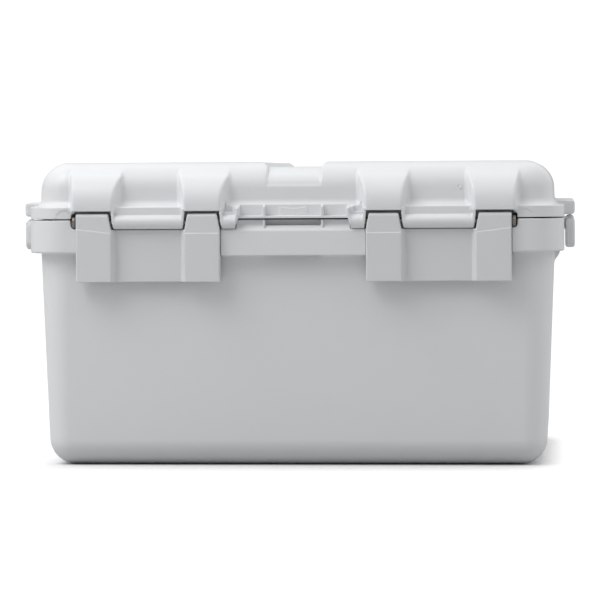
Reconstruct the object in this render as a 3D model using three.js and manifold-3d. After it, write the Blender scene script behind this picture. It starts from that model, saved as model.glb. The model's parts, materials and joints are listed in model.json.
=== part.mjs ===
// Hard drone carrying case. Two moulded shells are hinged at the rear and held shut by two wide
// latches at the front. It has two fold-down side handles, a rim seal and foam trays inside.
// Millimetres, +Z up, +X to the right seen from the front, and the front faces -Y.
// The origin is the centre of the base's flat underside.

import * as THREE from "three";
import { mergeVertices } from "three/addons/utils/BufferGeometryUtils.js";
import Module from "manifold-3d";

const wasm = await Module();
wasm.setup();

// ---------------------------------------------------------------- driving dimensions

const GAP = 0.3; // clearance between pieces that meet
const SIDE_GAP = 0.8; // clearance beside the latches
const PAST = 5; // how far a cutting tool runs past what it cuts
const CORNER_STEPS = 6; // facets in a rounded corner
const PIN_SIDES = 16; // facets round a pin and its bore
const SMALL_PIN_SIDES = 12;
const KNUCKLE_SIDES = 24;
const SUNK = 1; // how far a piece runs into what it is joined to

// Outline, seen from above: half width, half depth and corner radius
const BAND = { x: 275, y: 200, r: 42 };
const BODY = { x: 264.5, y: 189, r: 33 };
const TUB = { x: 266, y: 189, r: 33 }; // the base's wall and its foam are a little wider
const WALL = 6;

// Heights
const BAND_BOTTOM = 218.7;
const BAND_BEVEL = { in: 1.2, up: 1.6 }; // along the band's lower edge
const RIM_BEVEL = 0.8; // along the edges at the parting line
const BASE_TOP = 252.5;
const LID_BOTTOM = 253.8;
const FLANGE_TOP = 266;
const FLANGE_ROUND = 1.5; // radius of the flange's upper edge
const FLANGE_LEDGE = { inset: 7, rise: 1.6 }; // a point on the fillet up to the dome
const LID_TOP = 311.5;

// Base
const BASE_DRAFT = 2.2; // degrees
const BASE_FILLET = 26; // radius of the bottom edge
const FLOOR = 6; // floor thickness
const INNER_FILLET = 20;

// Lid dome
const DOME_FOOT = { inset: 10.8, z: 273 }; // where the dome's wall leaves the fillet
const DOME_FILLET = 28;
const DOME_DRAFT_INSET = 1; // how far the wall leans in below the top fillet
const CEILING = 306.9;
const CHANNEL = { half: 29, floor: 306.4, ceiling: 301.9, end: 289, bend: 29, wall: 4 };

// Latches and hinges share one layout: two knuckles of the lid's, each between two arms
const PIVOT = { y: 198.4, z: 250.4 };
const BARREL_RADIUS = 7.1;
const ARM_FACE = 206.5; // outer face of the latch arms and of the shoulders, from the centre
const ARM_BACK = 192.9;
const ARM_TOP = 259.1;
const ARM_EDGE_RADIUS = 4;
const HUB_RADIUS = 8.7;
const HUB_FOOT = 244.4; // where an arm's back starts to swell to its hub
const LUG_BOTTOM = 222.7; // of a rear hinge's lugs
const ARM_INNER = [74.5, 110.5]; // distance from the centre along X
const ARM_OUTER = [186, 222];
const BARREL = [112.3, 184.2];
const LUG = [58.5, 73];
const WEB = { out: 4, in: 7.6, up: 4 }; // joins a knuckle to the flange, measured from the pivot
const LATCH_BOTTOM = 189.3;
const PANEL_TOP = 242.6;
const PANEL_FACE = 197.5;
const ARM_FLARE = 4; // how far an arm's inner side leans out towards the panel
const CATCH = { z: [222, 230], slant: 6, reach: 192.2, x: [118, 178] };
const SLOT_TOP = 261.9; // underside of the shoulders over the arms
const SLOT_MARGIN = 1.4;

// Pins
const PIN_RADIUS = 2.5;
const PIN_HEAD = { radius: 6, x: [223, 226.5] };
const PIN_INNER_END = 63;
const PIN_POCKET = { radius: 7, x: [221, 228.5] };

// Shoulders over the arms: X range at the outer face, and where the sides meet the dome's wall
const SHOULDERS = [
  { face: [74.2, 111.2], foot: [66.3, 117.2] },
  { face: [184.4, 225.7], foot: [176.7, 229] },
];
const SHOULDER_TOP = 304.6;
const SHOULDER_ROUND = 40; // radius of a shoulder's curved front

// Centre bay with the carrying-strap slot behind a fixed bar
const BAR = { top: 241.3, bottom: 215.7, ledge: 248.4, face: 199.5, lip: 239, wall: 194.6, root: 177 };
const STRAP_SLOT = { half: 28.5, back: 189.4, front: 194.6, bottom: 206.7 };
const RIB_WIDTH = 2.5;
const BAY_POCKET = { depth: 8, z: [256.2, 268], outer: 54.5 };

// Side handles and what holds them
const HANDLE = { x: [278, 287], z: [221.5, 253.5], length: 260, bar: 15, arm: 16, radius: 9 };
const HANDLE_PIVOT = { x: 282.5, z: 246.5 };
const HANDLE_PIN_RADIUS = 2;
const HANDLE_LUG = { y: [99, 113.6], z: [241, 251], radius: 4.4 };
const HANDLE_PIN = [100.5, 127.5]; // distance from the centre along Y
const WING = { outer: 287, z: [255.5, 272.4], radius: 4 };
const FINGER_RECESS_HALF = 97;
const FINGER_RECESS_BOTTOM = 213.7;
const GUSSET = { root: 252.5, reach: 270.5, z: [203, 210], y: [99, 130] };

// Rim seal, in a groove under the lid's wall
const SEAL = { width: 3, bottom: 252.8, top: 256.9 };

// Vent plug in the recess over the right latch
const VENT = { x: 170, z: 284, head: 2.4, stem: 1.6, proud: 0.9, short: 0.5 };

// Foam
const FOAM_GAP = 1;
const PAD_TOP = 26;
const LOWER_TRAY_TOP = 131;
const UPPER_TRAY_TOP = 250.5;
const LID_FOAM = { bottom: 258, top: 300.5, pitch: 36 };
const VALLEY = { radius: 14, below: 8 }; // its centre runs below the pad's underside
const DRONE = { x: -72, floor: 176 };
const DRONE_ARM = { reach: 205, half: 38, corner: 36 };
const DRONE_BODY = { half: 92, corner: 40 };
const DRONE_LEGS = { half: 74, corner: 24, floor: 45 };
const CONTROLLER = { x: [128, 244], y: [-170, 8], floor: 152, corner: 22 };
const BATTERY = { x: [128, 244], first: 22, width: 44, pitch: 50, floor: 170, count: 3, corner: 6 };
const CHARGER = { x: [118, 226], y: [-150, -20], floor: 60, corner: 14 };
const SPARES = { x: [118, 226], y: [10, 150], floor: 76, corner: 14 };

// ---------------------------------------------------------------- geometry helpers

/** A closed three.js geometry as a manifold-3d solid. */
function solidOf(geometry) {
  geometry.deleteAttribute("normal");
  geometry.deleteAttribute("uv");
  const merged = mergeVertices(geometry, 1e-4);
  const mesh = new wasm.Mesh({
    numProp: 3,
    vertProperties: new Float32Array(merged.attributes.position.array),
    triVerts: new Uint32Array(merged.index.array),
  });
  return new wasm.Manifold(mesh);
}

/** A manifold-3d solid back as a three.js geometry. */
function geometryOf(solid) {
  const mesh = solid.getMesh();
  const geometry = new THREE.BufferGeometry();
  geometry.setAttribute("position", new THREE.BufferAttribute(mesh.vertProperties, 3));
  geometry.setIndex(new THREE.BufferAttribute(mesh.triVerts, 1));
  geometry.computeVertexNormals();
  return geometry;
}

/** All the solids in the list joined into one. */
function joined(solids) {
  return solids.reduce((whole, solid) => whole.add(solid));
}

/** The first solid with all the others cut out of it. */
function cut(solid, tools) {
  return tools.reduce((whole, tool) => whole.subtract(tool), solid);
}

/** A rounded rectangle at one height, counter-clockwise seen from above. */
function roundedRing(outline, inset, z) {
  const radius = Math.max(outline.r - inset, 2);
  const centreX = outline.x - inset - radius;
  const centreY = outline.y - inset - radius;
  const points = [];
  for (let corner = 0; corner < 4; corner += 1) {
    const signX = corner === 0 || corner === 3 ? 1 : -1;
    const signY = corner < 2 ? 1 : -1;
    for (let step = 0; step <= CORNER_STEPS; step += 1) {
      const angle = ((corner + step / CORNER_STEPS) * Math.PI) / 2;
      const x = signX * centreX + radius * Math.cos(angle);
      const y = signY * centreY + radius * Math.sin(angle);
      points.push(new THREE.Vector3(x, y, z));
    }
  }
  return points;
}

/** A solid through rings with equal point counts, each counter-clockwise seen from its far end. */
function loft(rings) {
  const count = rings[0].length;
  const index = [];
  for (let row = 0; row + 1 < rings.length; row += 1) {
    for (let i = 0; i < count; i += 1) {
      const a = row * count + i;
      const b = row * count + ((i + 1) % count);
      index.push(a, b, b + count, a, b + count, a + count);
    }
  }
  const last = (rings.length - 1) * count;
  const flat = rings[0].map((point) => new THREE.Vector2(point.x, point.y));
  for (const [a, b, c] of THREE.ShapeUtils.triangulateShape(flat, [])) {
    index.push(a, c, b);
    index.push(last + a, last + b, last + c);
  }
  const geometry = new THREE.BufferGeometry();
  const positions = rings.flat().flatMap((point) => [point.x, point.y, point.z]);
  geometry.setAttribute("position", new THREE.Float32BufferAttribute(positions, 3));
  geometry.setIndex(index);
  return solidOf(geometry);
}

function box(x, y, z) {
  const geometry = new THREE.BoxGeometry(x[1] - x[0], y[1] - y[0], z[1] - z[0]);
  geometry.translate((x[0] + x[1]) / 2, (y[0] + y[1]) / 2, (z[0] + z[1]) / 2);
  return solidOf(geometry);
}

function extruded(points, length) {
  const shape = new THREE.Shape(points.map(([u, v]) => new THREE.Vector2(u, v)));
  return new THREE.ExtrudeGeometry(shape, { depth: length, bevelEnabled: false });
}

/** An outline of [y, z] points drawn out along X. */
function extrudedAlongX(points, x) {
  const geometry = extruded(points, x[1] - x[0]);
  const along = new THREE.Matrix4().makeBasis(
    new THREE.Vector3(0, 1, 0), new THREE.Vector3(0, 0, 1), new THREE.Vector3(1, 0, 0));
  geometry.applyMatrix4(along);
  geometry.translate(x[0], 0, 0);
  return solidOf(geometry);
}

/** An outline of [x, z] points drawn out along Y. */
function extrudedAlongY(points, y) {
  const geometry = extruded(points, y[1] - y[0]);
  geometry.rotateX(Math.PI / 2);
  geometry.translate(0, y[1], 0);
  return solidOf(geometry);
}

/** An outline of [x, y] points drawn out along Z. */
function extrudedAlongZ(points, z) {
  const geometry = extruded(points, z[1] - z[0]);
  geometry.translate(0, 0, z[0]);
  return solidOf(geometry);
}

function cylinderAlongX(radius, x, y, z, sides = PIN_SIDES) {
  const geometry = new THREE.CylinderGeometry(radius, radius, x[1] - x[0], sides);
  geometry.rotateZ(Math.PI / 2);
  geometry.translate((x[0] + x[1]) / 2, y, z);
  return solidOf(geometry);
}

function cylinderAlongY(radius, x, y, z, sides = PIN_SIDES) {
  const geometry = new THREE.CylinderGeometry(radius, radius, y[1] - y[0], sides);
  geometry.translate(x, (y[0] + y[1]) / 2, z);
  return solidOf(geometry);
}

/** A range of distances from the centre, on the side that sign says, lowest first. */
function onSide(sign, range) {
  return sign > 0 ? [range[0], range[1]] : [-range[1], -range[0]];
}

/** The solid turned half way round the Z axis, from the front to the rear. */
function turned(solid) {
  const geometry = geometryOf(solid);
  geometry.rotateZ(Math.PI);
  return solidOf(geometry);
}

/** The points of an arc, angles in degrees. */
function arc(centre, radius, from, to, steps) {
  const points = [];
  for (let step = 0; step <= steps; step += 1) {
    const angle = THREE.MathUtils.degToRad(from + ((to - from) * step) / steps);
    points.push([centre[0] + radius * Math.cos(angle), centre[1] + radius * Math.sin(angle)]);
  }
  return points;
}

/** A rectangle with rounded corners as a list of points. */
function roundedRectangle(u, v, radius, steps = 3) {
  return [
    ...arc([u[1] - radius, v[1] - radius], radius, 0, 90, steps),
    ...arc([u[0] + radius, v[1] - radius], radius, 90, 180, steps),
    ...arc([u[0] + radius, v[0] + radius], radius, 180, 270, steps),
    ...arc([u[1] - radius, v[0] + radius], radius, 270, 360, steps),
  ];
}

/** How far the base's wall leans in at a height, from its place at the parting line. */
function draftInset(z) {
  return (LID_BOTTOM - z) * Math.tan(THREE.MathUtils.degToRad(BASE_DRAFT));
}

// ---------------------------------------------------------------- shell bodies

/** A tapered tub with a rounded bottom edge, inset from the body's outline. */
function tub(inset, bottom, fillet, top) {
  const rings = [];
  const steps = 4;
  for (let step = 0; step <= steps; step += 1) {
    const angle = ((step / steps) * Math.PI) / 2;
    const z = bottom + fillet * (1 - Math.cos(angle));
    rings.push(roundedRing(TUB, inset + draftInset(z) + fillet * (1 - Math.sin(angle)), z));
  }
  rings.push(roundedRing(TUB, inset + draftInset(top), top));
  return loft(rings);
}

/** A dome with a rounded top edge, inset from the body's outline. */
function dome(inset, bottom, top, fillet) {
  const shoulder = top - fillet;
  const rings = [roundedRing(BODY, inset, bottom)];
  const steps = 4;
  for (let step = 0; step <= steps; step += 1) {
    const angle = ((step / steps) * Math.PI) / 2;
    const lean = inset + DOME_DRAFT_INSET + fillet * (1 - Math.cos(angle));
    rings.push(roundedRing(BODY, lean, shoulder + fillet * Math.sin(angle)));
  }
  return loft(rings);
}

/** The outline of a latch arm or a hinge lug, as [y, z] points with the front at negative Y. */
function armProfile(bottom) {
  const back = -ARM_BACK;
  return [
    [-ARM_FACE, bottom],
    [back, bottom],
    [back, HUB_FOOT],
    ...arc([-PIVOT.y, PIVOT.z], HUB_RADIUS, 20, 90, 4),
    ...arc([-ARM_FACE + ARM_EDGE_RADIUS, ARM_TOP - ARM_EDGE_RADIUS], ARM_EDGE_RADIUS, 90, 180, 3),
  ];
}

/** The clear bore for a long pin. */
function pinBore(sign, x) {
  return cylinderAlongX(PIN_RADIUS + GAP, onSide(sign, x), -PIVOT.y, PIVOT.z);
}

/** The rounded pocket that takes a long pin's head. */
function pinPocket(sign) {
  return cylinderAlongX(PIN_POCKET.radius, onSide(sign, PIN_POCKET.x), -PIVOT.y, PIVOT.z);
}

// ---------------------------------------------------------------- base shell

/** The front of the rim is cut back behind a latch, leaving a catch ledge on the wall. */
function latchBay(sign) {
  const x = onSide(sign, [ARM_INNER[0] - SIDE_GAP, ARM_OUTER[1] + SIDE_GAP]);
  const bay = box(x, [-ARM_FACE - PAST, -BODY.y], [LATCH_BOTTOM, BASE_TOP + PAST]);
  const under = BODY.y - draftInset(CATCH.z[0]) - SUNK;
  const ledge = extrudedAlongX([
    [-under, CATCH.z[0]],
    [-under, CATCH.z[1] + CATCH.slant],
    [-CATCH.reach, CATCH.z[1]],
    [-CATCH.reach, CATCH.z[0]],
  ].reverse(), onSide(sign, CATCH.x));
  return bay.subtract(ledge);
}

/** The centre bay: the bar's top slopes back to the wall, with a slot for a strap and room for the lugs. */
function centreBay() {
  const outer = BAND.y + PAST;
  const slope = extrudedAlongX([
    [-outer, BAR.lip],
    [-BAR.face, BAR.top],
    [-BAR.wall, BAR.ledge],
    [-BAR.wall, BASE_TOP + PAST],
    [-outer, BASE_TOP + PAST],
  ], [-ARM_INNER[0], ARM_INNER[0]]);
  const half = STRAP_SLOT.half;
  const slot = box([-half, half], [-STRAP_SLOT.front, -STRAP_SLOT.back], [STRAP_SLOT.bottom, BASE_TOP]);
  const rooms = [1, -1].flatMap((sign) => {
    const x = onSide(sign, [LUG[0] - GAP, ARM_INNER[0]]);
    return [
      cylinderAlongX(BARREL_RADIUS + GAP, x, -PIVOT.y, PIVOT.z, KNUCKLE_SIDES),
      box(x, [-outer, -BODY.y], [PIVOT.z, BASE_TOP + PAST]),
    ];
  });
  return joined([slope, slot, ...rooms]);
}

/** Two lugs for one rear hinge; the lid's knuckle turns between them. */
function hingeLugs(sign) {
  const lugs = [ARM_INNER, ARM_OUTER].map((range) => (
    extrudedAlongX(armProfile(LUG_BOTTOM), onSide(sign, range))
  ));
  return joined(lugs);
}

/** The rim band is cut back round a rear hinge's knuckle. */
function hingeBay(sign) {
  const x = onSide(sign, [LUG[0] - SIDE_GAP, ARM_OUTER[1] + SIDE_GAP]);
  return box(x, [-ARM_FACE - PAST, -BODY.y], [PANEL_TOP, BASE_TOP + PAST]);
}

/** The lugs that hold one side handle's pins, and the gusset under the band behind it. */
function handleMounts(sign) {
  const lug = roundedRectangle([BODY.x, HANDLE.x[1]], HANDLE_LUG.z, HANDLE_LUG.radius);
  const gusset = [
    [GUSSET.root, GUSSET.z[0]],
    [BODY.x, GUSSET.z[0]],
    [GUSSET.reach, GUSSET.z[1]],
    [GUSSET.reach, BAND_BOTTOM + SUNK],
    [GUSSET.root, BAND_BOTTOM + SUNK],
  ].map(([x, z]) => [sign * x, z]);
  const side = sign > 0 ? gusset : gusset.reverse();
  const lugs = [-1, 1].map((end) => extrudedAlongY(lug, onSide(end, HANDLE_LUG.y)));
  const pair = joined(lugs);
  return joined([sign > 0 ? pair : turned(pair), extrudedAlongY(side, GUSSET.y)]);
}

/** Room behind a side handle for fingers, and the bores for its two pins. */
function handleCuts(sign) {
  const half = FINGER_RECESS_HALF;
  const recess = box(
    [BODY.x, BAND.x + PAST], [-half, half], [FINGER_RECESS_BOTTOM, BASE_TOP + PAST]);
  const bores = [-1, 1].map((end) => cylinderAlongY(
    HANDLE_PIN_RADIUS + GAP, HANDLE_PIVOT.x, onSide(end, HANDLE_PIN), HANDLE_PIVOT.z, SMALL_PIN_SIDES));
  const right = joined([recess, ...bores]);
  return sign > 0 ? right : turned(right);
}

function baseShell() {
  const band = loft([
    roundedRing(BAND, BAND_BEVEL.in, BAND_BOTTOM),
    roundedRing(BAND, 0, BAND_BOTTOM + BAND_BEVEL.up),
    roundedRing(BAND, 0, BASE_TOP - RIM_BEVEL),
    roundedRing(BAND, RIM_BEVEL, BASE_TOP),
  ]);
  const barHalf = ARM_INNER[0] - SIDE_GAP;
  const bar = box([-barHalf, barHalf], [-BAND.y, -BAR.root], [BAR.bottom, BAND_BOTTOM + PAST]);
  const shell = joined([tub(0, 0, BASE_FILLET, BASE_TOP), band, bar, handleMounts(1), handleMounts(-1)]);
  const cavity = tub(WALL, FLOOR, INNER_FILLET, BASE_TOP + 1);
  const fronts = [1, -1].map((sign) => latchBay(sign));
  const rears = [1, -1].map((sign) => turned(hingeBay(sign)));
  const open = cut(shell, [cavity, ...fronts, ...rears, centreBay(), handleCuts(1), handleCuts(-1)]);
  const lugs = [1, -1].map((sign) => turned(hingeLugs(sign)));
  const bores = [1, -1].map((sign) => turned(pinRoom(sign)));
  const pockets = [1, -1].map((sign) => pinPocket(sign));
  return cut(joined([open, ...lugs]), [...bores, ...pockets]);
}

// ---------------------------------------------------------------- lid shell

/** One rounded shoulder over a latch arm, its sides leaning out towards the dome. */
function shoulder(sign, { face, foot }) {
  const depth = ARM_FACE - BODY.y;
  const centre = SHOULDER_TOP - SHOULDER_ROUND;
  const sections = [0, 0.2, 0.4, 0.6, 0.8, 1].map((part) => {
    const angle = (part * Math.PI) / 2;
    const back = SHOULDER_ROUND * (1 - Math.cos(angle));
    const spread = Math.min(back / depth, 1);
    const x = onSide(sign, [
      face[0] + (foot[0] - face[0]) * spread,
      face[1] + (foot[1] - face[1]) * spread,
    ]);
    const top = centre + SHOULDER_ROUND * Math.sin(angle);
    const out = ARM_FACE - back;
    return [[x[0], SLOT_TOP], [x[1], SLOT_TOP], [x[1], top], [x[0], top]].map(
      ([u, v]) => new THREE.Vector3(u, v, out));
  });
  const geometry = geometryOf(loft(sections.reverse()));
  geometry.rotateX(Math.PI / 2);
  return solidOf(geometry);
}

/** The knuckle between two arms, the lug beside the centre bay, and their webs to the flange. */
function knuckles(sign) {
  return joined([BARREL, LUG].flatMap((range) => {
    const x = onSide(sign, range);
    const web = box(x, [-PIVOT.y - WEB.out, -PIVOT.y + WEB.in], [PIVOT.z, LID_BOTTOM + WEB.up]);
    return [cylinderAlongX(BARREL_RADIUS, x, -PIVOT.y, PIVOT.z, KNUCKLE_SIDES), web];
  }));
}

/** Slots in the flange that the arms turn in. */
function armSlots(sign) {
  return joined([ARM_INNER, ARM_OUTER].map((range) => {
    const x = onSide(sign, [range[0] - SLOT_MARGIN, range[1] + SLOT_MARGIN]);
    return box(x, [-ARM_FACE - PAST, -BODY.y], [LID_BOTTOM - PAST, SLOT_TOP]);
  }));
}

/** The bores and pockets for one side's long pin. */
function pinRoom(sign) {
  return joined([pinBore(sign, [PIN_INNER_END - 1, PIN_POCKET.x[1]]), pinPocket(sign)]);
}

/** Shallow pockets in the flange's face in the centre bay, parted by thin ribs. */
function bayPockets() {
  const y = [-BAND.y - PAST, -BAND.y + BAY_POCKET.depth];
  const { z } = BAY_POCKET;
  const inner = STRAP_SLOT.half + RIB_WIDTH;
  const sides = [1, -1].map((sign) => box(onSide(sign, [inner, BAY_POCKET.outer]), y, z));
  return joined([box([-STRAP_SLOT.half, STRAP_SLOT.half], y, z), ...sides]);
}

/** The strap channel over the top, which follows the dome's edges down a little way. */
function strapChannel() {
  const edge = BODY.y + PAST;
  const foot = BODY.y - DOME_DRAFT_INSET;
  const bendCentre = [-foot + CHANNEL.bend + CHANNEL.wall, CHANNEL.floor - CHANNEL.bend];
  const front = [
    [-edge, CHANNEL.end],
    [-foot, CHANNEL.end],
    ...arc(bendCentre, CHANNEL.bend, 150, 90, 4),
  ];
  const rear = front.map(([y, z]) => [-y, z]).reverse();
  const above = [[edge, LID_TOP + PAST], [-edge, LID_TOP + PAST]];
  return extrudedAlongX([...front, ...rear, ...above], [-CHANNEL.half, CHANNEL.half]);
}

function ventBore(radius) {
  return cylinderAlongY(radius, VENT.x, [-BODY.y - PAST, -BODY.y + WALL + PAST], VENT.z, SMALL_PIN_SIDES);
}

function lidShell() {
  const flange = loft([
    roundedRing(BAND, RIM_BEVEL, LID_BOTTOM),
    roundedRing(BAND, 0, LID_BOTTOM + RIM_BEVEL),
    roundedRing(BAND, 0, FLANGE_TOP - FLANGE_ROUND),
    roundedRing(BAND, FLANGE_ROUND, FLANGE_TOP),
    roundedRing(BAND, FLANGE_LEDGE.inset, FLANGE_TOP + FLANGE_LEDGE.rise),
    roundedRing(BAND, DOME_FOOT.inset, DOME_FOOT.z),
  ]);
  const wings = [1, -1].map((sign) => extrudedAlongY(
    roundedRectangle(onSide(sign, [BODY.x, WING.outer]), WING.z, WING.radius),
    [-HANDLE.length / 2, HANDLE.length / 2]));
  const front = joined([1, -1].flatMap((sign) => SHOULDERS.map((range) => shoulder(sign, range))));
  const outer = joined([flange, dome(0, LID_BOTTOM, LID_TOP, DOME_FILLET), front, turned(front), ...wings]);
  const slots = joined([1, -1].map((sign) => armSlots(sign)));
  const hinges = joined([1, -1].map((sign) => knuckles(sign)));
  const bores = joined([1, -1].map((sign) => pinRoom(sign)));
  const solid = cut(outer, [slots, turned(slots), strapChannel(), bayPockets()]);
  const tools = [bores, turned(bores), ventBore(VENT.stem + GAP)];
  const whole = cut(joined([solid, hinges, turned(hinges)]), tools);
  const belowChannel = box(
    [-CHANNEL.half - CHANNEL.wall, CHANNEL.half + CHANNEL.wall],
    [-BODY.y, BODY.y],
    [CHANNEL.ceiling, LID_TOP]);
  const cavity = dome(WALL, LID_BOTTOM - 1, CEILING, INNER_FILLET).subtract(belowChannel);
  return cut(whole, [cavity, sealRing(GAP, LID_BOTTOM - 1, SEAL.top + GAP)]);
}

// ---------------------------------------------------------------- seal, latches and pins

/** A ring along the middle of the shell's wall, widened by a margin on each side. */
function sealRing(margin, bottom, top) {
  const middle = WALL / 2;
  const half = SEAL.width / 2 + margin;
  const outer = loft([roundedRing(BODY, middle - half, bottom), roundedRing(BODY, middle - half, top)]);
  const inner = loft([
    roundedRing(BODY, middle + half, bottom - 1), roundedRing(BODY, middle + half, top + 1)]);
  return outer.subtract(inner);
}

/** One wide latch: two arms and the recessed panel that joins them. */
function latch(sign) {
  const [innerEdge, armEnd] = ARM_INNER;
  const [armStart, outerEdge] = ARM_OUTER;
  const plan = [
    [innerEdge, -ARM_FACE],
    [armEnd, -ARM_FACE],
    [armEnd + ARM_FLARE, -PANEL_FACE],
    [armStart - ARM_FLARE, -PANEL_FACE],
    [armStart, -ARM_FACE],
    [outerEdge, -ARM_FACE],
    [outerEdge, -ARM_BACK],
    [innerEdge, -ARM_BACK],
  ];
  const placed = sign > 0 ? plan : plan.map(([x, y]) => [-x, y]).reverse();
  const plate = extrudedAlongZ(placed, [LATCH_BOTTOM, PANEL_TOP]);
  const arms = [ARM_INNER, ARM_OUTER].map((range) => (
    extrudedAlongX(armProfile(PANEL_TOP - PAST), onSide(sign, range))
  ));
  return cut(joined([plate, ...arms]), [pinBore(sign, [ARM_INNER[0] - 1, ARM_OUTER[1] + 1])]);
}

/** A long steel pin with a flat head at its outer end. */
function longPin(sign) {
  const shank = cylinderAlongX(
    PIN_RADIUS, onSide(sign, [PIN_INNER_END, PIN_HEAD.x[1]]), -PIVOT.y, PIVOT.z);
  const head = cylinderAlongX(PIN_HEAD.radius, onSide(sign, PIN_HEAD.x), -PIVOT.y, PIVOT.z);
  return shank.add(head);
}

/** A short handle pin, from the base's lug into the handle's arm. */
function handlePin(side, end) {
  return cylinderAlongY(
    HANDLE_PIN_RADIUS, side * HANDLE_PIVOT.x, onSide(end, HANDLE_PIN), HANDLE_PIVOT.z, SMALL_PIN_SIDES);
}

/** A flat U-shaped handle that hangs beside the rim, its arms' tops rounded for the pivot. */
function sideHandle(side) {
  const half = HANDLE.length / 2;
  const frame = roundedRectangle([-half, half], HANDLE.z, HANDLE.radius);
  const inner = half - HANDLE.arm;
  const gap = box(
    [0, HANDLE.x[1] + PAST], [-inner, inner], [HANDLE.z[0] + HANDLE.bar, HANDLE.z[1] + PAST]);
  const [x0, x1] = HANDLE.x;
  const thickness = x1 - x0;
  const slice = roundedRectangle([x0, x1], HANDLE.z, thickness / 2 - 0.1, 4);
  const plate = extrudedAlongX(frame, [x0 - PAST, x1 + PAST]);
  const rounded = extrudedAlongY(slice, [-half - PAST, half + PAST]);
  const bores = [-1, 1].map((end) => cylinderAlongY(
    HANDLE_PIN_RADIUS + GAP, HANDLE_PIVOT.x, onSide(end, [HANDLE_PIN[0], HANDLE_PIN[1] + GAP]),
    HANDLE_PIVOT.z, SMALL_PIN_SIDES));
  const right = cut(plate.intersect(rounded), [gap, ...bores]);
  return side > 0 ? right : turned(right);
}

function ventPlug() {
  const face = -BODY.y + DOME_DRAFT_INSET;
  const head = cylinderAlongY(VENT.head, VENT.x, [face - VENT.proud, face - GAP], VENT.z, PIN_SIDES);
  const stem = [face - VENT.proud, face + WALL - VENT.short];
  return head.add(cylinderAlongY(VENT.stem, VENT.x, stem, VENT.z, SMALL_PIN_SIDES));
}

// ---------------------------------------------------------------- foam

/** A slab of foam that fills the tub between two heights. */
function foamSlab(bottom, top) {
  return loft([
    roundedRing(TUB, WALL + FOAM_GAP + draftInset(bottom), bottom),
    roundedRing(TUB, WALL + FOAM_GAP + draftInset(top), top),
  ]);
}

/** The bottom pad, its lower edge rounded like the tub. */
function basePad() {
  return tub(WALL + FOAM_GAP, FLOOR + GAP, INNER_FILLET - 1, PAD_TOP);
}

/** A rounded pocket open at the top. */
function pocket(x, y, bottom, top, radius) {
  return extrudedAlongZ(roundedRectangle(x, y, radius), [bottom, top + PAST]);
}

/** A square pocket with rounded corners round the drone's centre. */
function dronePocket({ half, corner }, bottom, top) {
  return pocket([DRONE.x - half, DRONE.x + half], [-half, half], bottom, top, corner);
}

/** A long pocket turned about the drone's centre, for one pair of its arms. */
function armPocket(angle, top) {
  const { reach, half, corner } = DRONE_ARM;
  const outline = roundedRectangle([-reach, reach], [-half, half], corner, 5);
  const geometry = geometryOf(extrudedAlongZ(outline, [DRONE.floor, top + PAST]));
  geometry.rotateZ(angle);
  geometry.translate(DRONE.x, 0, 0);
  return solidOf(geometry);
}

function upperTray() {
  const top = UPPER_TRAY_TOP;
  const bottom = LOWER_TRAY_TOP + GAP;
  const batteries = Array.from({ length: BATTERY.count }, (_, i) => {
    const start = BATTERY.first + i * BATTERY.pitch;
    return pocket(BATTERY.x, [start, start + BATTERY.width], BATTERY.floor, top, BATTERY.corner);
  });
  const body = dronePocket(DRONE_BODY, bottom - PAST, top);
  const arms = [Math.PI / 4, -Math.PI / 4].map((angle) => armPocket(angle, top));
  const controller = pocket(CONTROLLER.x, CONTROLLER.y, CONTROLLER.floor, top, CONTROLLER.corner);
  return cut(foamSlab(bottom, top), [body, ...arms, controller, ...batteries]);
}

function lowerTray() {
  const top = LOWER_TRAY_TOP;
  const legs = dronePocket(DRONE_LEGS, DRONE_LEGS.floor, top);
  const charger = pocket(CHARGER.x, CHARGER.y, CHARGER.floor, top, CHARGER.corner);
  const spares = pocket(SPARES.x, SPARES.y, SPARES.floor, top, SPARES.corner);
  return cut(foamSlab(PAD_TOP + GAP, top), [legs, charger, spares]);
}

/** The lid's pad, with rounded valleys across it. */
function lidFoam() {
  const slab = dome(WALL + FOAM_GAP, LID_FOAM.bottom, LID_FOAM.top, INNER_FILLET - 2);
  const count = Math.floor((BODY.x - WALL) / LID_FOAM.pitch);
  const valleys = [];
  for (let i = -count; i <= count; i += 1) {
    const x = i * LID_FOAM.pitch;
    valleys.push(extrudedAlongY(
      arc([x, LID_FOAM.bottom - VALLEY.below], VALLEY.radius, 0, 180, 6), [-BODY.y, BODY.y]));
  }
  return cut(slab, valleys);
}

// ---------------------------------------------------------------- the assembly

const SHELL = new THREE.MeshStandardMaterial({ color: 0xe8ebed, roughness: 0.35, metalness: 0 });
const LATCH = new THREE.MeshStandardMaterial({ color: 0xd9dcde, roughness: 0.45, metalness: 0 });
const STEEL = new THREE.MeshStandardMaterial({ color: 0x8c847c, roughness: 0.4, metalness: 1 });
const RUBBER = new THREE.MeshStandardMaterial({ color: 0x3a3c3e, roughness: 0.8, metalness: 0 });
const FOAM = new THREE.MeshStandardMaterial({ color: 0x2b2d30, roughness: 0.95, metalness: 0 });

const SIDES = [["left", -1], ["right", 1]];
const ENDS = [["front", -1], ["rear", 1]];

const carryingCase = new THREE.Group();

function place(name, solid, material) {
  const mesh = new THREE.Mesh(geometryOf(solid), material);
  mesh.name = name;
  carryingCase.add(mesh);
}

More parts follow.
